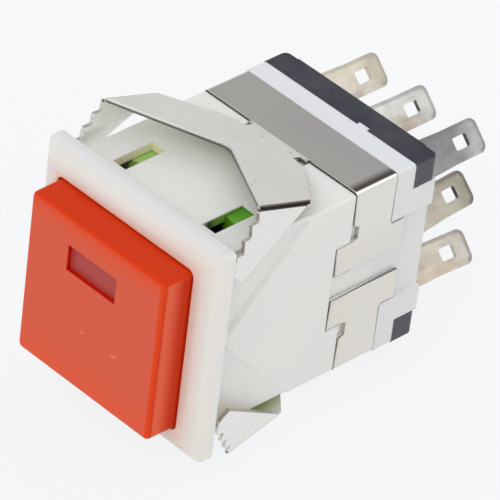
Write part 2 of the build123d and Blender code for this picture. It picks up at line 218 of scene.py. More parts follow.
# white housing
housing = {
    "white": (0.83, 0.83, 0.80),
    "cooler": (0.815, 0.825, 0.81),
    # painted highlight along the sharp edges
    "edge": (0.88, 0.88, 0.85),
    "roughness": 0.42,
    # sizes of the patterns
    "cloudSize": 7.0,
    "sinkSize": 4.5,
    "skinSize": 0.22,
    # flange: painted greyer, a painted shade, with a painted warm glow from the cap on its face
    "flange": (0.735, 0.738, 0.745),
    "flangeFace": (0.77, 0.735, 0.695),
    "flangeBack": (0.5, -0.2),
    # tucked places get painted shade and painted light: lighter at the left and below, darker at the
    # right
    "shadeReach": 4.0,
    "shadeLeft": (1.0, 1.0, 0.92),
    "shadeRight": (0.66, 0.66, 0.56),
    "shadeBelow": (1.0, 0.945, 0.85),
    "leftToRight": (-5, 2),
    "lowPart": (-3, -5),
    # rear rim, painted bluish and darker, with painted shade on its sides
    "bluish": (0.765, 0.79, 0.85),
    "rearSide": (0.76, 0.765, 0.77),
    "rearFrom": (17.5, 17.9),
    # slots that show the green plunger; the housing inside them gets painted light and shade
    "slotPlace": (5.1, 3.95),
    "slotHalf": (0.8, 2.2),
    "slotWall": (1.45, 1.6),
    "slotLeft": (0.86, 0.80, 0.56),
    "slotRight": (0.24, 0.46, 0.07),
    "slotRightFrom": (2.5, 3.2),
    "slotRightFront": (2.5, 2.1),
    "slotDark": (0.06, 0.06, 0.04),
    "slotFront": (0.80, 0.62, 0.50),
    # light from the cap
    "well": (0.88, 0.60, 0.49),
    "wellGap": 0.25,
    "wellFade": 0.2,
    "pink": (0.76, 0.62, 0.54),
    "pinkReach": 1.9,
    "besideCap": (0.815, 0.755, 0.70),
    "besideCapFrom": (0, -1.2),
    # the steps of the clips' pockets: painted light on the lower ones, painted shade on the upper ones
    "ledge": (0.92, 0.92, 0.90),
    "groove": (0.76, 0.76, 0.73),
    "stepAcross": (8.2, 8.3),
    "stepAlong": (7.0, 5.6),
    "stepUpright": (4.6, 3.6),
}


def slotTint(finish, colour, across, along, upright):
    # the housing inside the slots is painted: green from the plunger as painted light, olive painted
    # shade in the left one, and a painted dark shadow with a pinkish front end in the right one
    (slotX, slotY), (halfX, halfY) = housing["slotPlace"], housing["slotHalf"]
    inSlot = finish.within(across.absolute(), slotX, halfX, 0.02)
    inSlot = inSlot * finish.within(along, slotY, halfY, 0.02)
    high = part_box("housing")[1].z
    wallFrom, wallTo = housing["slotWall"]
    inSlot = inSlot * finish.spread(upright.absolute(), high - wallFrom * mm, high - wallTo * mm)
    side = finish.spread(across, 0, mm)
    glow = finish.blend(side, solid(housing["slotLeft"]), solid(housing["slotRight"]))
    lit = finish.between(along, housing["slotRightFrom"])
    glow = finish.blend(side * (1 - lit), glow, solid(housing["slotDark"]))
    frontEnd = finish.between(along, housing["slotRightFront"])
    glow = finish.blend(side * frontEnd, glow, solid(housing["slotFront"]))
    return finish.blend(inSlot, colour, glow)


def capTint(finish, colour, across, along, upright, onFlange):
    # red light from the cap on the walls round it
    faceX, faceY = finish.facing("X"), finish.facing("Y")
    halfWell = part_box("button_cap")[1].x + housing["wellGap"] * mm
    outside = halfWell + housing["wellFade"] * mm
    inWell = finish.spread(across.absolute(), outside, halfWell)
    inWell = inWell * finish.spread(upright.absolute(), outside, halfWell)
    colour = finish.blend(inWell * finish.spread(along, mm, 0), colour, solid(housing["well"]))
    # and faintly on the flange beside it, most to the right
    byCap = finish.spread(across, halfWell + housing["pinkReach"] * mm, halfWell)
    byCap = byCap * finish.spread(across, 0, halfWell) * onFlange
    byCap = byCap * finish.spread(faceY, 0.5, 0.9) * (1 - inWell)
    colour = finish.blend(byCap * 0.6, colour, solid(housing["pink"]))
    besideCap = finish.between(along, housing["besideCapFrom"]) * finish.spread(faceX, 0.6, 0.9)
    return finish.blend(besideCap * (1 - inWell) * 0.7, colour, solid(housing["besideCap"]))


def pocketTint(finish, colour, across, along, upright):
    # the step round the lower pockets is painted lighter so that it is hardly seen, painted light over
    # its shade, and the upper ones' step is painted darker into a faint line, a painted shade
    step = finish.spread(finish.facing("X"), 0.97, 0.93)
    step = step * finish.between(across.absolute(), housing["stepAcross"])
    step = step * finish.within(along, *housing["stepAlong"], 0.1)
    middle, half = housing["stepUpright"]
    lower = step * finish.within(upright, -middle, half, 0.2)
    colour = finish.blend(lower, colour, solid(housing["ledge"]))
    upper = step * finish.within(upright, middle, half, 0.2)
    return finish.blend(upper, colour, solid(housing["groove"]))


def whiteNylon():
    finish = Finish("whiteNylon")
    across, along, upright = (finish.axis(name) for name in "XYZ")
    faceX, faceY = finish.facing("X"), finish.facing("Y")
    cloudy = finish.clouds(housing["cloudSize"], 3.0)
    colour = finish.blend(cloudy, solid(housing["white"]), solid(housing["cooler"]))
    # the flange, apart from its sides, is painted greyer, a painted shade, and its face warmer, a
    # painted glow from the cap
    onFlange = finish.between(along, housing["flangeBack"])
    onFace = finish.spread(faceY, 0.3, 0.9)
    flange = finish.blend(onFace, solid(housing["flange"]), solid(housing["flangeFace"]))
    colour = finish.blend(onFlange * finish.spread(faceX, 0.9, 0.6), colour, flange)
    # painted shade and painted light in hollows and under the clips, by ambient occlusion
    tucked = finish.spread(finish.hollows(housing["shadeReach"]), 0.8, 0.2, 0.0, 0.6)
    toRight = finish.between(across, housing["leftToRight"])
    shade = finish.blend(toRight, solid(housing["shadeLeft"]), solid(housing["shadeRight"]))
    below = finish.between(upright, housing["lowPart"])
    shade = finish.blend(below, shade, solid(housing["shadeBelow"]))
    colour = finish.blend(tucked * (1 + below * 0.5), colour, shade)
    # the rear rim is painted cooler and darker, its sideways faces most: painted shade
    rearTone = finish.blend(faceX, solid(housing["bluish"]), solid(housing["rearSide"]))
    colour = finish.blend(finish.between(along, housing["rearFrom"]) * 0.7, colour, rearTone)
    # sharp edges painted lighter: a painted edge highlight
    colour = finish.blend(finish.edges(0.25) * 0.35, colour, solid(housing["edge"]))
    colour = slotTint(finish, colour, across, along, upright)
    colour = capTint(finish, colour, across, along, upright, onFlange)
    colour = pocketTint(finish, colour, across, along, upright)
    skin = finish.noise(housing["skinSize"], 3.0)
    sinks = finish.noise(housing["sinkSize"], 1.0)
    normal = finish.bump(sinks, 0.05, 0.35, finish.softened(0.08))
    normal = finish.bump(skin, 0.004, 0.4, normal)
    return finish.done({
        "Base Color": colour,
        "Roughness": finish.roughened(skin, housing["roughness"], 0.05, 0.06),
        "Normal": normal,
        "IOR": 1.53,
        "Subsurface Weight": 0.2,
        "Subsurface Radius": (1.0, 0.85, 0.6),
        "Subsurface Scale": 0.6 * mm,
    })


dress(whiteNylon(), "housing")
print("housing dressed")

# red cap
cap = {
    "red": (0.67, 0.037, 0.0008),
    "deep": (0.645, 0.032, 0.0004),
    "roughness": 0.30,
    # sizes of the patterns
    "cloudSize": 5.0,
    "waveSize": 3.0,
    "grainSize": 0.3,
    # depths are back from the face
    # painted highlight on the rounded edge, painted reflection on the sides, painted shade towards the
    # flange
    "edge": (0.74, 0.056, 0.006),
    "edgeDepth": (1.2, 0.8),
    "pale": (0.80, 0.115, 0.045),
    "paleFrom": (0.35, 0.5),
    "rear": (0.62, 0.029, 0.001),
    "rearFrom": (0.9, 2.1),
    # the face, painted paler as a painted reflection of the bright room, and its upper and lower parts
    "face": (0.685, 0.099, 0.047),
    "faceDepth": 0.15,
    "faceTop": (0.75, 0.068, 0.015),
    "faceWarms": (5.6, 7.6),
    "faceLow": (0.76, 0.094, 0.036),
    "facePales": (-3.5, -7.5),
    # window
    "windowSize": (5.5, 2.4),
    "windowPlace": (-0.25, 3.9),
    "windowDepth": 0.45,
    "windowTint": (0.43, 0.065, 0.058),
    "windowWall": (0.60, 0.008, 0.001),
    # two scuffs: across, up, half length, half height
    "mark": (0.88, 0.22, 0.14),
    "marks": ((-0.56, -1.9, 0.33, 0.13), (3.05, -2.03, 0.45, 0.15)),
    "markTilt": 25,
}


def translucentRed():
    finish = Finish("translucentRed")
    across, along, upright = (finish.axis(name) for name in "XYZ")
    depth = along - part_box("button_cap")[0].y
    cloudy = finish.clouds(cap["cloudSize"], 2.0)
    colour = finish.blend(cloudy, solid(cap["red"]), solid(cap["deep"]))
    # the sides: a pale band behind the rounded edge, a painted reflection, and deeper red towards the
    # flange, a painted shade
    side = finish.spread(finish.facing("X"), 0.8, 0.95)
    pale = finish.between(depth, cap["paleFrom"])
    colour = finish.blend(side * pale, colour, solid(cap["pale"]))
    behind = finish.between(depth, cap["rearFrom"])
    colour = finish.blend(side * behind, colour, solid(cap["rear"]))
    # the face is painted paler, a painted reflection, warmer at the top and paler low down
    face = finish.spread(depth, cap["faceDepth"] * mm, 0)
    warmer = finish.between(upright, cap["faceWarms"])
    front = finish.blend(warmer, solid(cap["face"]), solid(cap["faceTop"]))
    lower = finish.between(upright, cap["facePales"])
    front = finish.blend(lower, front, solid(cap["faceLow"]))
    colour = finish.blend(face, colour, front)
    # the rounded edge between the face and the sides, painted brighter: a painted highlight
    faceX, faceZ = finish.facing("X"), finish.facing("Z")
    rounded = finish.spread(faceX, 0.0, 0.4) * finish.spread(faceX, 1.0, 0.75)
    rounded = rounded * finish.spread(faceZ, 0.5, 0.3) * finish.between(depth, cap["edgeDepth"])
    colour = finish.blend(rounded, colour, solid(cap["edge"]))
    # scuffs
    tilt = math.radians(cap["markTilt"])
    for x, z, halfLong, halfHigh in cap["marks"]:
        fromX, fromZ = across - x * mm, upright - z * mm
        reachX = (fromX * math.cos(tilt) + fromZ * math.sin(tilt)) * (1 / halfLong)
        reachZ = (fromZ * math.cos(tilt) - fromX * math.sin(tilt)) * (1 / halfHigh)
        reach = reachX * reachX + reachZ * reachZ
        scuff = finish.spread(reach, mm ** 2, 0) * face
        colour = finish.blend(scuff, colour, solid(cap["mark"]))
    # the window's floor is thin plastic over the dark inside, and its walls are thick
    (wide, tall), (left, above) = cap["windowSize"], cap["windowPlace"]
    inWindow = finish.within(across, left, wide / 2, 0.03)
    inWindow = inWindow * finish.within(upright, above, tall / 2, 0.03)
    floorDepth = cap["windowDepth"]
    wall = inWindow * finish.between(depth, (0.03, 0.08))
    wall = wall * finish.between(depth, (floorDepth + 0.15, floorDepth + 0.05))
    deepest = finish.spread(depth, (floorDepth - 0.04) * mm, (floorDepth - 0.02) * mm)
    colour = finish.blend(wall, colour, solid(cap["windowWall"]))
    colour = finish.blend(wall * deepest, colour, solid(cap["windowTint"]))
    grain = finish.noise(cap["grainSize"], 3.0)
    normal = finish.bump(finish.noise(cap["waveSize"], 1.0), 0.02, 0.3)
    normal = finish.bump(grain, 0.002, 0.3, normal)
    return finish.done({
        "Base Color": colour,
        "Roughness": finish.roughened(grain, cap["roughness"], 0.04, 0.06),
        "Normal": normal,
        "IOR": 1.5,
        "Specular IOR Level": 0.14,
    })


# milky diffuser behind the cap
diffuser = {
    "milk": (0.88, 0.87, 0.84),
    "thin": (0.82, 0.80, 0.77),
    "roughness": 0.5,
    "cloudSize": 2.5,
    "grainSize": 0.2,
}


def milkyDiffuser():
    finish = Finish("milkyDiffuser")
    cloudy = finish.clouds(diffuser["cloudSize"], 3.0)
    colour = finish.blend(cloudy, solid(diffuser["milk"]), solid(diffuser["thin"]))
    return finish.done({
        "Base Color": colour,
        "Roughness": diffuser["roughness"],
        "Normal": finish.bump(finish.noise(diffuser["grainSize"]), 0.004, 0.5),
        "Subsurface Weight": 0.3,
        "Subsurface Scale": 0.8 * mm,
    })


dress(translucentRed(), "button_cap")
dress(milkyDiffuser(), "cap_diffuser")
print("cap dressed")

# green plunger, painted paler where the left slot shows it, a painted light, and lighter on its edges, a
# painted highlight
plunger = {
    "green": (0.135, 0.40, 0.02),
    "deep": (0.085, 0.32, 0.012),
    "pale": (0.46, 0.72, 0.21),
    "edge": (0.20, 0.50, 0.05),
    "leftPart": (-3, -4),
    "roughness": 0.4,
    "cloudSize": 1.6,
    "grainSize": 0.25,
}


def mouldedGreen():
    finish = Finish("mouldedGreen")
    cloudy = finish.clouds(plunger["cloudSize"], 3.0)
    colour = finish.blend(cloudy, solid(plunger["green"]), solid(plunger["deep"]))
    # painted light on the left part, and a painted highlight along the edges
    left = finish.between(finish.axis("X"), plunger["leftPart"])
    colour = finish.blend(left * 0.8, colour, solid(plunger["pale"]))
    colour = finish.blend(finish.edges(0.2) * 0.4, colour, solid(plunger["edge"]))
    grain = finish.noise(plunger["grainSize"], 3.0)
    return finish.done({"Base Color": colour, "Normal": finish.bump(grain, 0.006, 0.5),
                        "Roughness": finish.roughened(grain, plunger["roughness"], 0.06, 0.08)})


dress(mouldedGreen(), "plunger")

# black terminal base and lamp holder, with painted light on their ends and edges
base = {
    "black": (0.022, 0.023, 0.038),
    "patchesAndSheen": (0.075, 0.077, 0.095),
    "end": (0.06, 0.061, 0.074),
    "dust": (0.2, 0.2, 0.21),
    "holderBlack": (0.02, 0.02, 0.021),
    "holderPatchesAndSheen": (0.06, 0.06, 0.06),
    "roughness": 0.42,
    "cloudSize": 3.0,
    "dustSpacing": 1.1,
    "dustSize": 0.05,
    "dustPatches": 2.5,
    "baseGrain": 0.2,
    "holderGrain": 0.15,
}


def mouldedBlack(name, black, patchesAndSheen, grainSize):
    finish = Finish(name)
    cloudy = finish.clouds(base["cloudSize"], 4.0, 0.4, 0.7)
    colour = finish.blend(cloudy * 0.5, solid(black), solid(patchesAndSheen))
    # the ends, which face sideways, are painted lighter: painted light
    atEnds = finish.spread(finish.facing("X"), 0.7, 0.9)
    colour = finish.blend(atEnds * 0.7, colour, solid(base["end"]))
    # edges painted lighter: a painted highlight
    colour = finish.blend(finish.edges(0.2) * 0.5, colour, solid(patchesAndSheen))
    patches = finish.clouds(base["dustPatches"], 2.0, 0.5, 0.62)
    dust = finish.spots(base["dustSpacing"], base["dustSize"]) * patches
    colour = finish.blend(dust * 0.5, colour, solid(base["dust"]))
    grain = finish.noise(grainSize, 4.0)
    return finish.done({"Base Color": colour, "Normal": finish.bump(grain, 0.01, 0.6),
                        "Roughness": finish.roughened(grain, base["roughness"], 0.06, 0.1)})


baseBlack = mouldedBlack("phenolicBlack", base["black"], base["patchesAndSheen"], base["baseGrain"])
dress(baseBlack, "terminal_base")
holderBlack = mouldedBlack("holderBlack", base["holderBlack"], base["holderPatchesAndSheen"], base["holderGrain"])
dress(holderBlack, "lamp_holder")
print("plunger, base and holder dressed")

# spring steel clips
clip = {
    "steel": (0.82, 0.81, 0.78),
    "dull": (0.77, 0.76, 0.72),
    "streak": (0.66, 0.65, 0.61),
    "pit": (0.20, 0.17, 0.13),
    "glint": (1.0, 1.0, 0.99),
    "roughness": 0.24,
    # sizes of the patterns
    "cloudSize": 3.5,
    "smearSize": 4.0,
    "rolledSize": 0.5,
    "streakSize": 0.5,
    "streakTurn": 0.6,
    "pitSpacing": 0.8,
    "pitSize": 0.12,
    "dimpleSize": 0.26,
    "pitPatches": 2.6,
    "nickSize": 0.5,
    # flaps and side tabs; sideways faces are painted warmer, a painted reflection, and the tabs darker
    # low down, a painted shade
    "warm": (0.79, 0.765, 0.705),
    "warmLow": (0.755, 0.725, 0.665),
    "lowTab": (5, 2.5),
    "flapTone": (0.82, 0.81, 0.78),
    "flapsEnd": (9.3, 9.0),
    "flapSide": (7.9, 8.2),
    "innerFlap": (0.97, 0.97, 0.95),
    # band across the housing, behind the sloping plates
    "bandStart": 14.3,
    "bandHeight": 8.6,
    "bandDark": (0.16, 0.13, 0.12),
    "bandDarkFrom": 7.5,
    "smear": (0.73, 0.72, 0.70),
    # sheared edges, and the sloping plates: rise in degrees, root back and up
    "cut": (0.60, 0.565, 0.53),
    "nickSide": (8.2, 8.5),
    "rises": {"top": 17.5, "bottom": 14.5},
    "plateRoot": (14.25, 8.8),
    "sheetEdge": (0.19, 0.185, 0.16),
    "sheetFrom": (0.13, 0.18),
    "sheetTo": (0.45, 0.4),
    # folds and free edges of the flaps, painted dark: painted reflection and painted shade
    "bend": (0.20, 0.17, 0.165),
    "bendLow": (0.055, 0.04, 0.042),
    "bendFrom": (2.7, 3.1),
    "freeEdge": (0.40, 0.37, 0.32),
    "freeEdgeFrom": (0.8, 1.0),
    # painted shade lines along the tabs' front edges and painted shadow round the flaps' noses
    "line": (0.36, 0.355, 0.31),
    "linePlace": (13.5, 1.15),
    "noseLine": (0.50, 0.455, 0.43),
    "noseFrom": (3.6, 3.2),
    "nose": (3.7, 1.9),
    # painted shade on the upper edges of the side tabs
    "tabEdge": (0.20, 0.20, 0.185),
    "tabSide": 8.3,
    "tabFace": 8.75,
    "tabFrom": (12.0, 12.2),
    "tabLine": (12.6, 18.8),
    "tabLineWidth": (0.14, 0.36),
    # painted green reflection on the lower plate's inside
    "green": (0.40, 0.66, 0.06),
    "insideFrom": (0.3, 0.34),
    "greenPlace": (6.2, 8.2),
}


def bandTint(finish, colour, across, upright, faceX, onBand):
    # painted shade darkens the band just before it folds down, and its fold gets a painted highlight
    # where it catches the light
    height, darkFrom = clip["bandHeight"], clip["bandDarkFrom"]
    outer = finish.between(upright.absolute(), (height - 0.2, height))
    foldDark = finish.between(across, (darkFrom, darkFrom + 0.7))
    foldDark = onBand * outer * foldDark * finish.spread(faceX, 0.6, 0.45)
    colour = finish.blend(foldDark, colour, solid(clip["bandDark"]))
    ridge = onBand * finish.spread(faceX, 0.45, 0.6) * finish.spread(faceX, 0.9, 0.8)
    return finish.blend(ridge, colour, solid(clip["glint"]))


def depthInPlate(along, upright, isTop):
    # how far a place lies under the outer face of the sloping plates
    back, up = clip["plateRoot"]
    below = 0
    for name, share in (("top", isTop), ("bottom", 1 - isTop)):
        rise = math.radians(clip["rises"][name])
        level = upright.absolute() * math.cos(rise) + (along - back * mm) * math.sin(rise)
        below = below + share * (up * mm * math.cos(rise) - level)
    return below


def tabTint(finish, colour, across, along, upright, front):
    # a painted shade line along the side tabs' front edges
    faceX, faceZ = finish.facing("X"), finish.facing("Z")
    outward = finish.spread(faceX, 0.9, 0.96)
    tabFront = finish.edges(0.3, 0.93) * outward
    tabFront = tabFront * finish.within(along, *clip["linePlace"], 0.1) * (1 - front)
    colour = finish.blend(tabFront * 0.8, colour, solid(clip["line"]))
    # and a faint painted shadow line round the flaps' noses, next to the flange
    nose = finish.edges(0.2, 0.93) * outward * finish.between(along, clip["noseFrom"])
    nose = nose * finish.within(upright.absolute(), *clip["nose"], 0.4)
    colour = finish.blend(nose * 0.8, colour, solid(clip["noseLine"]))
    # the side tabs' upper edges are painted dark next to their outer face, a painted shade, less so
    # towards the front
    beside = across.absolute()
    onTab = finish.between(beside, (clip["tabSide"], clip["tabSide"] + 0.02))
    onTab = onTab * finish.between(along, clip["tabFrom"]) * finish.spread(upright, 0, -mm)
    (lineFrom, lineTo), (thin, thick) = clip["tabLine"], clip["tabLineWidth"]
    length = finish.spread(along, lineFrom * mm, lineTo * mm, thin * mm, thick * mm)
    nearFace = finish.spread(clip["tabFace"] * mm - beside, length, length * 0.7)
    onTab = onTab * nearFace * finish.spread(faceX, 0.5, 0.3) * finish.spread(faceZ, 0.4, 0.6)
    return finish.blend(onTab, colour, solid(clip["tabEdge"]))


def platedSteel():
    finish = Finish("platedSteel")
    across, along, upright = (finish.axis(name) for name in "XYZ")
    faceX, faceY, faceZ = (finish.facing(name) for name in "XYZ")
    onBand = finish.between(along, (clip["bandStart"], clip["bandStart"] + 0.1))
    front = finish.between(along, clip["flapsEnd"])
    cloudy = finish.clouds(clip["cloudSize"], 3.0, 0.35, 0.7, 0.55)
    colour = finish.blend(cloudy * 0.6, solid(clip["steel"]), solid(clip["dull"]))
    # sideways faces are painted warmer, a painted reflection, and the side tabs darker low down, a
    # painted shade
    lowTab = finish.between(upright, clip["lowTab"])
    sideTone = finish.blend(lowTab, solid(clip["warm"]), solid(clip["warmLow"]))
    sideTone = finish.blend(front, sideTone, solid(clip["flapTone"]))
    colour = finish.blend(finish.spread(faceX, 0.9, 0.96), colour, sideTone)
    smears = finish.noise(clip["smearSize"], 2.0, stretch=(0.35, 1, 1))
    smears = finish.spread(smears, 0.35, 0.65)
    colour = finish.blend(smears * onBand * 0.5, colour, solid(clip["smear"]))
    # pits and drawn streaks of the plating
    rolled = finish.noise(clip["rolledSize"], 2.0, 0.5, stretch=(1, 0.06, 1))
    cluster = finish.clouds(clip["pitPatches"], 2.0, 0.52, 0.62)
    cluster = cluster * (1 - onBand) * finish.spread(faceX, 0.5, 0.3)
    pits = finish.spots(clip["pitSpacing"], clip["pitSize"]) * cluster
    dimples = finish.spots(clip["pitSpacing"], clip["dimpleSize"]) * cluster
    colour = finish.blend(pits * 0.8, colour, solid(clip["pit"]))
    aslant = (0, 0, clip["streakTurn"])
    streaks = finish.noise(clip["streakSize"], 2.0, stretch=(0.25, 1, 1), turn=aslant)
    streaks = finish.spread(streaks, 0.62, 0.72)
    colour = finish.blend(streaks * (1 - onBand) * 0.5, colour, solid(clip["streak"]))
    colour = bandTint(finish, colour, across, upright, faceX, onBand)
    # sheared edges are darker, partly their raw steel and partly painted shade, but painted glints at
    # nicks; the sloping plates' edges get painted shade on their lower half
    sheared = finish.spread(faceZ, 0.5, 0.42) * finish.spread(faceX, 0.95, 0.9)
    nickGlints = finish.clouds(clip["nickSize"], 2.0, 0.54, 0.6)
    nickGlints = nickGlints * front * finish.between(across.absolute(), clip["nickSide"])
    sloping = finish.spread(faceZ, 0.1, 0.14)
    colour = finish.blend(sheared * (1 - nickGlints) * (1 - sloping) * 0.8, colour, solid(clip["cut"]))
    colour = finish.blend(finish.edges(0.1) * nickGlints * 0.8, colour, solid(clip["glint"]))
    isTop = finish.spread(upright, -mm, mm)
    below = depthInPlate(along, upright, isTop)
    lowerHalf = finish.between(below, clip["sheetFrom"]) * finish.between(below, clip["sheetTo"])
    colour = finish.blend(sheared * lowerHalf * (1 - onBand), colour, solid(clip["sheetEdge"]))
    # the fold of each flap is painted dark, a painted reflection, most on its outer half
    folded = front * finish.spread(faceX, 0.14, 0.2) * finish.spread(faceX, 0.97, 0.93)
    folded = folded * finish.spread(faceZ, 0.16, 0.22) * finish.spread(faceY, 0.5, 0.42)
    folded = folded * finish.between(along, clip["bendFrom"])
    outerHalf = finish.spread(faceX, 0.5, 0.62)
    fold = finish.blend(outerHalf, solid(clip["bend"]), solid(clip["bendLow"]))
    colour = finish.blend(folded, colour, fold)
    # the lower flaps' free edges are painted dark: a painted shadow
    freeEdge = front * finish.between(across.absolute(), clip["flapSide"])
    freeEdge = freeEdge * (1 - isTop) * finish.spread(faceX, 0.9, 0.8)
    freeEdge = freeEdge * finish.between(below, clip["freeEdgeFrom"])
    freeEdge = freeEdge * finish.spread(finish.facing("Z", False), 0.3, 0.5)
    colour = finish.blend(freeEdge * 0.9, colour, solid(clip["freeEdge"]))
    # the left flaps' inner faces catch the light from the housing
    innerFlap = finish.spread(finish.facing("X", False), 0.9, 0.96)
    innerFlap = front * innerFlap * finish.spread(across, 0, -mm)
    colour = finish.blend(innerFlap, colour, solid(clip["innerFlap"]))
    colour = tabTint(finish, colour, across, along, upright, front)
    # painted green reflection of the slots on the inside of the lower plate
    inside = finish.between(below, clip["insideFrom"])
    inside = inside * (1 - isTop) * finish.spread(faceZ, 0.8, 0.9)
    slotAcross, slotAlong = clip["greenPlace"]
    bySlot = finish.within(along, slotAlong, 0.6, 1.4) * finish.within(across, slotAcross, 0.6, 1.6)
    colour = finish.blend(inside * bySlot * 0.9, colour, solid(clip["green"]))
    normal = finish.bump(rolled, 0.0002, 0.1, finish.softened(0.05))
    normal = finish.bump(1 - dimples, 0.006, 0.4, normal)
    rough = finish.spread(rolled, 0.3, 0.75, clip["roughness"] - 0.01, clip["roughness"] + 0.01)
    rough = rough + cloudy * 0.05 + pits * 0.3 - onBand * 0.04
    return finish.done({"Base Color": colour, "Metallic": 1 - inside * 0.6, "Normal": normal,
                        "Roughness": rough})


dress(platedSteel(), "top_mounting_clip", "bottom_mounting_clip")
print("clips dressed")

# solder lugs
lugs = {
    # painted light and shade of each blade: its upper edge, lower edge, tip and rim
    "tones": {
        "upper_lamp_terminal": (
            (0.84, 0.83, 0.80), (0.72, 0.65, 0.56),
            (0.76, 0.76, 0.74), (0.28, 0.28, 0.27)),
        "lower_lamp_terminal": (
            (0.80, 0.77, 0.71), (0.74, 0.68, 0.60),
            (0.68, 0.65, 0.60), (0.30, 0.28, 0.25)),
        "left_common_terminal": (
            (0.76, 0.72, 0.65), (0.74, 0.67, 0.57),
            (0.64, 0.60, 0.53), (0.28, 0.26, 0.22)),
        "left_open_terminal": (
            (0.76, 0.68, 0.56), (0.72, 0.64, 0.52),
            (0.62, 0.56, 0.46), (0.30, 0.26, 0.21)),
        "left_closed_terminal": (
            (0.85, 0.78, 0.65), (0.82, 0.76, 0.68),
            (0.66, 0.61, 0.50), (0.42, 0.39, 0.32)),
        "right_common_terminal": (
            (0.56, 0.51, 0.43), (0.71, 0.66, 0.55),
            (0.47, 0.44, 0.38), (0.10, 0.085, 0.07)),
        "right_open_terminal": (
            (0.76, 0.70, 0.60), (0.72, 0.62, 0.50),
            (0.70, 0.67, 0.60), (0.24, 0.21, 0.17)),
        "right_closed_terminal": (
            (0.31, 0.31, 0.325), (0.37, 0.365, 0.38),
            (0.60, 0.61, 0.59), (0.22, 0.22, 0.22)),
    },
    "dull": (0.0, 0.0, 0.0),
    "stain": (0.36, 0.27, 0.17),
    "roughness": 0.36,
    "cloudSize": 1.3,
    "stainSize": 2.2,
    "drawnSize": 0.35,
    # across a blade, from its upper edge to its lower one
    "toneWidth": (-0.9, 1.1),
    "rimWidth": (0.2, -0.9),
    # back from its tip: the tip's tone, the rim round it, and the hole, whose edge stays plain
    "tipTone": (2.6, 1.0),
    "tipRim": (0.9, 0.5),
    "holeFromTip": 2.2,
    "holeHalf": (0.95, 0.75),
}


def bladeTip(name):
    # where a blade ends along its length, and the middle of its end
    corners = [corner.co for corner in cadNodes[name].data.vertices]
    end = max(corner.y for corner in corners)
    last = [corner for corner in corners if corner.y > end - 0.3 * mm]
    middle = []
    for i in (0, 2):
        places = [corner[i] for corner in last]
        middle.append((min(places) + max(places)) / 2)
    return middle, end


def tinnedBrass(name, node, tones):
    finish = Finish(name)
    upper, lower, tip, rim = (solid(tone) for tone in tones)
    (middleX, middleZ), end = bladeTip(node)
    across, along, upright = (finish.axis(name) for name in "XYZ")
    # the blades are turned half way between level and upright
    width = ((across - middleX) - (upright - middleZ)) * math.sqrt(0.5)
    cloudy = finish.clouds(lugs["cloudSize"], 4.0, 0.4, 0.66, 0.6)
    # each blade is painted lighter or darker from its upper edge to its lower one and at its tip:
    # painted light and shade
    colour = finish.blend(finish.between(width, lugs["toneWidth"]), upper, lower)
    fromTip = end - along
    colour = finish.blend(finish.between(fromTip, lugs["tipTone"]) * 0.9, colour, tip)
    colour = finish.blend(cloudy * 0.12, colour, solid(lugs["dull"]))
    stains = finish.clouds(lugs["stainSize"], 3.0, 0.5, 0.7)
    colour = finish.blend(stains * 0.2, colour, solid(lugs["stain"]))
    halfLong, halfWide = lugs["holeHalf"]
    byHole = finish.within(fromTip, lugs["holeFromTip"], halfLong, 0.3)
    byHole = byHole * finish.within(width, 0, halfWide, 0.3)
    # the dark rim along the blade's edges is painted shade
    atTip = finish.between(fromTip, lugs["tipRim"])
    outer = 1 - (1 - finish.between(width, lugs["rimWidth"])) * (1 - atTip)
    colour = finish.blend(finish.edges(0.7, 0.9) * outer * (1 - byHole), colour, rim)
    drawn = finish.noise(lugs["drawnSize"], 4.0, 0.6, stretch=(1, 0.08, 1))
    normal = finish.bump(drawn, 0.003, 0.5, finish.softened(0.06))
    rough = finish.roughened(drawn, lugs["roughness"], 0.06, 0.12)
    return finish.done({"Base Color": colour, "Metallic": 1.0, "Normal": normal,
                        "Roughness": rough + stains * 0.15})


for name, tones in lugs["tones"].items():
    dress(tinnedBrass("tin_" + name, name, tones), name)


# plain metals: light tone, dark tone, roughness, grain in millimetres
metals = {
    "rolledBrass": ((0.76, 0.55, 0.26), (0.66, 0.44, 0.19), 0.28, 0.3),
    "contactSilver": ((0.83, 0.82, 0.79), (0.68, 0.66, 0.62), 0.25, 0.15),
    "springWire": ((0.62, 0.61, 0.59), (0.48, 0.47, 0.45), 0.25, 0.5),
    "lampCap": ((0.80, 0.74, 0.58), (0.70, 0.62, 0.45), 0.26, 0.3),
    "lampWire": ((0.70, 0.68, 0.66), (0.55, 0.53, 0.50), 0.3, 0.1),
    "solderPip": ((0.66, 0.66, 0.67), (0.52, 0.52, 0.54), 0.35, 0.2),
}


def plainMetal(name):
    light, dark, rough, grainSize = metals[name]
    finish = Finish(name)
    cloudy = finish.clouds(grainSize * 4, 4.0, 0.4, 0.66)
    colour = finish.blend(cloudy, solid(light), solid(dark))
    grain = finish.noise(grainSize, 3.0)
    return finish.done({"Base Color": colour, "Metallic": 1.0,
                        "Normal": finish.bump(grain, 0.004, 0.5),
                        "Roughness": finish.roughened(grain, rough, 0.05, 0.1)})


dress(plainMetal("rolledBrass"), "left_rocker_contact", "right_rocker_contact")
dress(plainMetal("contactSilver"), "fixed_contacts", "left_rocker_rivets", "right_rocker_rivets")
print("terminals and contacts dressed")

# return spring, wound with closed ends; the ends' pitch is in wire widths
coil = {
    "wire": 0.5,
    "endTurns": 1,
    "middleTurns": 2.5,
    "sides": 16,
    "stepsPerTurn": 48,
    "endPitch": 1.02,
    "keep": 0.61,
}


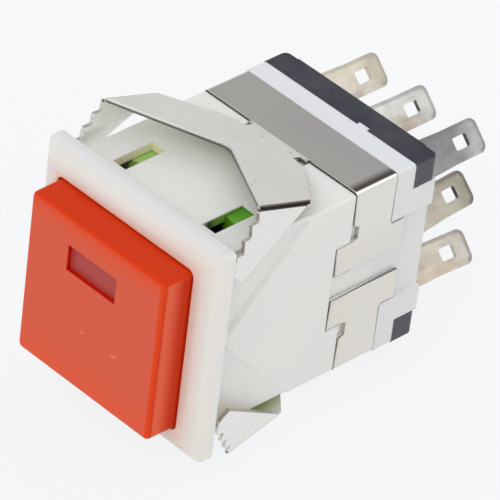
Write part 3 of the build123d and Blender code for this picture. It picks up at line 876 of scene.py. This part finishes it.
def finishMesh(name, slot, material, *nodes):
    # names the active object, closes its mesh and hands it to the body
    piece = bpy.context.object
    piece.name = name
    bpy.ops.object.mode_set(mode="EDIT")
    bpy.ops.mesh.select_all(action="SELECT")
    bpy.ops.mesh.remove_doubles(threshold=0.001 * mm)
    bpy.ops.mesh.fill_holes(sides=0)
    bpy.ops.mesh.normals_make_consistent(inside=False)
    bpy.ops.object.mode_set(mode="OBJECT")
    bpy.ops.object.transform_apply(location=True, rotation=True, scale=True)
    bpy.ops.object.shade_smooth_by_angle(angle=math.radians(40))
    piece.data.materials.clear()
    piece.data.materials.append(material)
    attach(piece, "body")
    if nodes:
        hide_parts(*nodes)
    deselectAll()
    return piece


def windTurns(radius, wire, turns, rise, start, angle):
    # one stretch of a helix about the press axis, wound from a ring of wire
    bpy.ops.mesh.primitive_circle_add(vertices=coil["sides"], radius=wire / 2,
                                      location=(radius, start, 0))
    stretch = bpy.context.object
    bpy.ops.object.transform_apply(location=True, rotation=True, scale=True)
    screw = stretch.modifiers.new("wind", "SCREW")
    screw.axis = "Y"
    screw.angle = turns * math.tau
    screw.screw_offset = rise
    screw.steps = screw.render_steps = int(turns * coil["stepsPerTurn"])
    screw.use_merge_vertices = False
    bpy.ops.object.modifier_apply(modifier="wind")
    stretch.rotation_euler = (0, angle, 0)
    bpy.ops.object.transform_apply(location=True, rotation=True, scale=True)
    return stretch


def windSpring():
    low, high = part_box("return_spring")
    wire = coil["wire"] * mm
    radius = (high.x - low.x) / 2 - wire / 2
    start, end = low.y + wire / 2, high.y - wire / 2
    endTurns, middleTurns = coil["endTurns"], coil["middleTurns"]
    endRise = endTurns * wire * coil["endPitch"]
    stretches = [
        windTurns(radius, wire, endTurns, endRise, start, 0),
        windTurns(radius, wire, middleTurns, end - start - 2 * endRise, start + endRise, 0),
        windTurns(radius, wire, endTurns, endRise, end - endRise, middleTurns * math.tau),
    ]
    deselectAll()
    for stretch in stretches:
        stretch.select_set(True)
    bpy.context.view_layer.objects.active = stretches[0]
    bpy.ops.object.join()
    spring = finishMesh("returnCoil", "spring_steel", plainMetal("springWire"), "return_spring")
    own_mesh(spring)


windSpring()
print("spring wound")

# lamp: glass envelope, filament on two wires, and a metal cap
bulb = {
    "glass": (0.97, 0.97, 0.95),
    "smudged": (0.92, 0.93, 0.91),
    "smudgeSize": 1.5,
    "glassWall": 0.3,
    "glassGap": 0.02,
    "capLength": 5.0,
    "capOverlap": 0.6,
    "capRecess": 0.1,
    "capRound": 0.12,
    "shoulder": (0.5, 0.15),
    "contactRadius": 1.1,
    "contactHeight": 0.5,
    "contactRound": 0.3,
    "wireRadius": 0.12,
    "wireRound": 0.05,
    "wireSpacing": 1.7,
    "filamentFrom": 3.2,
    "filamentRise": 0.1,
    "filamentRadius": 0.22,
    "filamentWire": 0.07,
    "filamentTurns": 11,
    "beadRadius": 0.75,
    "beadShape": (1.5, 0.8, 0.7),
}


def clearGlass():
    finish = Finish("clearGlass")
    smudge = finish.clouds(bulb["smudgeSize"], 3.0, 0.4, 0.7)
    tint = finish.blend(smudge, solid(bulb["glass"]), solid(bulb["smudged"]))
    return finish.done({"Base Color": tint, "Roughness": smudge * 0.06 + 0.02, "IOR": 1.5,
                        "Transmission Weight": 1.0})


def pickFaces(piece, test):
    # leaves the piece in edit mode with only the faces that pass the test
    deselectAll()
    bpy.context.view_layer.objects.active = piece
    piece.select_set(True)
    bpy.ops.object.mode_set(mode="EDIT")
    bpy.ops.mesh.select_mode(type="FACE")
    bpy.ops.mesh.select_all(action="DESELECT")
    bpy.ops.object.mode_set(mode="OBJECT")
    for face in piece.data.polygons:
        face.select = test(face)
    bpy.ops.object.mode_set(mode="EDIT")


def roundBar(radius, start, end, x=0.0, sides=48):
    middle = (x, (start + end) / 2, 0)
    bpy.ops.mesh.primitive_cylinder_add(vertices=sides, radius=radius, depth=end - start,
                                        location=middle, rotation=(math.pi / 2, 0, 0))
    bpy.ops.object.transform_apply(location=True, rotation=True, scale=True)
    return bpy.context.object


def bevelEnds(piece, width, segments=3):
    bevel = piece.modifiers.new("round", "BEVEL")
    bevel.width = width
    bevel.segments = segments
    bevel.limit_method = "ANGLE"
    bpy.ops.object.modifier_apply(modifier="round")


def makeLamp():
    low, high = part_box("lamp")
    radius = (high.x - low.x) / 2
    capStart = high.y - bulb["capLength"] * mm
    capMetal, wireMetal, pipMetal = (plainMetal(name) for name in ("lampCap", "lampWire", "solderPip"))

    # glass: the front half of a ball, drawn out to the cap, with a wall
    ball = radius - bulb["glassGap"] * mm
    bpy.ops.mesh.primitive_uv_sphere_add(segments=48, ring_count=24, radius=ball,
                                         location=(0, low.y + radius, 0),
                                         rotation=(math.pi / 2, 0, 0))
    bpy.ops.object.transform_apply(location=True, rotation=True, scale=True)
    glass = bpy.context.object
    pickFaces(glass, lambda face: face.center.y > low.y + radius)
    bpy.ops.mesh.delete(type="FACE")
    bpy.ops.mesh.select_all(action="SELECT")
    bpy.ops.mesh.select_mode(type="EDGE")
    bpy.ops.mesh.select_all(action="DESELECT")
    bpy.ops.mesh.select_non_manifold()
    draw = capStart + bulb["capOverlap"] * mm - low.y - radius
    bpy.ops.mesh.extrude_region_move(TRANSFORM_OT_translate={"value": (0, draw, 0)})
    bpy.ops.object.mode_set(mode="OBJECT")
    wall = glass.modifiers.new("wall", "SOLIDIFY")
    wall.thickness = bulb["glassWall"] * mm
    wall.offset = -1
    bpy.ops.object.modifier_apply(modifier="wall")
    finishMesh("lampEnvelope", "lamp_glass", clearGlass(), "lamp")

    # cap, open in front for the glass, with a shoulder and the solder contact behind it
    shell = roundBar(radius, capStart, high.y - bulb["contactHeight"] * mm)
    pickFaces(shell, lambda face: face.normal.y > 0.5)
    inset, lift = bulb["shoulder"]
    bpy.ops.mesh.inset(thickness=inset * mm)
    bpy.ops.transform.translate(value=(0, lift * mm, 0))
    bpy.ops.object.mode_set(mode="OBJECT")
    pickFaces(shell, lambda face: face.normal.y < -0.5)
    bpy.ops.mesh.inset(thickness=(bulb["glassWall"] + bulb["capRecess"]) * mm)
    deep = bulb["capOverlap"] * mm
    bpy.ops.mesh.extrude_region_move(TRANSFORM_OT_translate={"value": (0, deep, 0)})
    bpy.ops.object.mode_set(mode="OBJECT")
    bevelEnds(shell, bulb["capRound"] * mm)
    finishMesh("lampCap", "lug_tin", capMetal)
    pipRound = bulb["contactRound"]
    pipStart = high.y - (bulb["contactHeight"] + pipRound) * mm
    pip = roundBar(bulb["contactRadius"] * mm, pipStart, high.y)
    bevelEnds(pip, pipRound * mm, 5)
    finishMesh("lampSolderPip", "lug_tin", pipMetal)

    # two lead wires through a glass bead, and the coiled filament between their tips
    tip = low.y + bulb["filamentFrom"] * mm
    half = bulb["wireSpacing"] / 2 * mm
    for side, x in (("left", -half), ("right", half)):
        lead = roundBar(bulb["wireRadius"] * mm, tip, capStart + mm, x, sides=12)
        bevelEnds(lead, bulb["wireRound"] * mm)
        finishMesh(side + "LampWire", "spring_steel", wireMetal)
    bpy.ops.mesh.primitive_uv_sphere_add(segments=24, ring_count=12, radius=bulb["beadRadius"] * mm,
                                         location=(0, (tip + capStart) / 2, 0),
                                         scale=bulb["beadShape"])
    finishMesh("lampBead", "lamp_glass", clearGlass())
    turns, wire = bulb["filamentTurns"], bulb["filamentWire"] * mm
    filament = windTurns(bulb["filamentRadius"] * mm, wire, turns, 2 * half, -half, 0)
    filament.rotation_euler = (0, 0, -math.pi / 2)
    filament.location = (0, tip + bulb["filamentRise"] * mm, 0)
    finishMesh("lampFilament", "spring_steel", wireMetal)


makeLamp()
print("lamp made")

# floor, light and camera; shadowShare is how much of the shadows the floor shows
studio = {
    "floorSize": 3.0,
    "floorWhite": (0.84, 0.84, 0.84),
    "shown": (0.953, 0.962, 0.982),
    "shownNear": (0.94, 0.945, 0.955),
    "nearToFar": (-20, 60),
    "shadowShare": 0.12,
    "world": 0.93,
    "worldInMetal": 0.96,
}


def seenDirectly(tree):
    # 1 for what the camera sees, also by way of metal and glass
    direct = addNode(tree, "ShaderNodeLightPath", output="Is Camera Ray")
    glossy = addNode(tree, "ShaderNodeLightPath", output="Is Glossy Ray")
    through = addNode(tree, "ShaderNodeLightPath", output="Is Transmission Ray")
    return direct.sum("MAXIMUM", direct.sum("MAXIMUM", direct, glossy), through)


def paleFloor():
    finish = Finish("paleFloor")
    shown = finish.between(finish.axis("Y"), studio["nearToFar"])
    colour = finish.blend(shown, solid(studio["shownNear"]), solid(studio["shown"]))
    glow = finish.node("ShaderNodeEmission", {}, {"Color": colour, "Strength": 1.0})
    plain = finish.node("ShaderNodeBsdfDiffuse", {}, {"Color": solid(studio["floorWhite"])})
    share = seenDirectly(finish.tree) * (1 - studio["shadowShare"])
    both = finish.node("ShaderNodeMixShader", {}, (share, plain, glow))
    finish.node("ShaderNodeOutputMaterial", {}, {"Surface": both})
    return finish.material


bpy.ops.mesh.primitive_plane_add(size=studio["floorSize"], location=(0, 0, cadBounds[0][2]))
floor = bpy.context.object
floor.name = "paleFloor"
bpy.ops.object.transform_apply(location=True, rotation=True, scale=True)
floor.data.materials.append(paleFloor())

world = bpy.data.worlds.new("studioWorld")
bpy.context.scene.world = world
world.use_nodes = True
room = world.node_tree
room.nodes.clear()
sky = addNode(room, "ShaderNodeTexCoord", output="Generated")
# two greyer parts of the room for the bright metal to pick up: direction, tone,
# and the cosines of their inner and outer reach
greyParts = {
    "behindLeft": ((-0.50, 0.56, 0.66), 0.55, 0.97, 0.90),
    "behindRight": ((0.32, 0.91, 0.27), 0.10, 0.985, 0.955),
}
tone = 1.0
for direction, grey, inner, outer in greyParts.values():
    towards = Vector(direction).normalized()
    near = addNode(room, "ShaderNodeVectorMath", {"operation": "DOT_PRODUCT"}, (sky, towards), "Value")
    ranges = {"Value": near, "From Min": outer, "From Max": inner, "To Min": 1.0, "To Max": grey}
    tone = addNode(room, "ShaderNodeMapRange", {"interpolation_type": "SMOOTHSTEP"}, ranges) * tone
inMetal = addNode(room, "ShaderNodeLightPath", output="Is Glossy Ray")
strength = studio["world"] + inMetal * (tone * studio["worldInMetal"] - studio["world"])
light = addNode(room, "ShaderNodeBackground", {}, {"Strength": strength})
plainSky = {"Color": solid(studio["shown"]), "Strength": 1.0}
shown = addNode(room, "ShaderNodeBackground", {}, plainSky)
onlyCamera = addNode(room, "ShaderNodeLightPath", output="Is Camera Ray")
mixed = addNode(room, "ShaderNodeMixShader", {}, (onlyCamera, light, shown))
addNode(room, "ShaderNodeOutputWorld", {}, {"Surface": mixed})

lightsAim = (0, 0.01, 0)
lamps = {
    "backRight": {"place": (0.8, 0.9, 0.8), "size": 1.2, "power": 1.2},
    "frontRight": {"place": (0.4, -0.95, 0.95), "size": 1.0, "power": 6.0},
    "lowLeft": {"place": (-1.2, -0.3, 0.42), "size": 1.0, "power": 1.0},
}


def facing(place, aim, roll=0.0):
    back = (Vector(place) - Vector(aim)).normalized()
    right = Vector((0, 0, 1)).cross(back).normalized()
    up = back.cross(right)
    turned = right * math.cos(roll) + up * math.sin(roll)
    matrix = Matrix((turned, back.cross(turned), back)).transposed().to_4x4()
    matrix.translation = Vector(place)
    return matrix


for name, lamp in lamps.items():
    data = bpy.data.lights.new(name, "AREA")
    data.shape = "SQUARE"
    data.size = lamp["size"]
    data.energy = lamp["power"]
    made = bpy.data.objects.new(name, data)
    bpy.context.scene.collection.objects.link(made)
    made.matrix_world = facing(lamp["place"], lightsAim)

shot = {
    "azimuth": 42.2,
    "elevation": 36.2,
    "roll": 7.28,
    "distance": 0.418,
    "aim": (0.0039, 0.0081, 0.0031),
    "lens": 386.75,
    "sensor": 36,
    "sees": (0.01, 10),
}
turn, rise = math.radians(shot["azimuth"]), math.radians(shot["elevation"])
away = Vector((math.sin(turn) * math.cos(rise), -math.cos(turn) * math.cos(rise), math.sin(rise)))
stand = Vector(shot["aim"]) + away * shot["distance"]
cameraData = bpy.data.cameras.new("camera")
cameraData.lens = shot["lens"]
cameraData.sensor_width = shot["sensor"]
cameraData.clip_start, cameraData.clip_end = shot["sees"]
camera = bpy.data.objects.new("camera", cameraData)
bpy.context.scene.collection.objects.link(camera)
camera.matrix_world = facing(stand, shot["aim"], math.radians(shot["roll"]))
bpy.context.scene.camera = camera
bpy.context.scene.view_settings.view_transform = "Standard"
print("studio set")
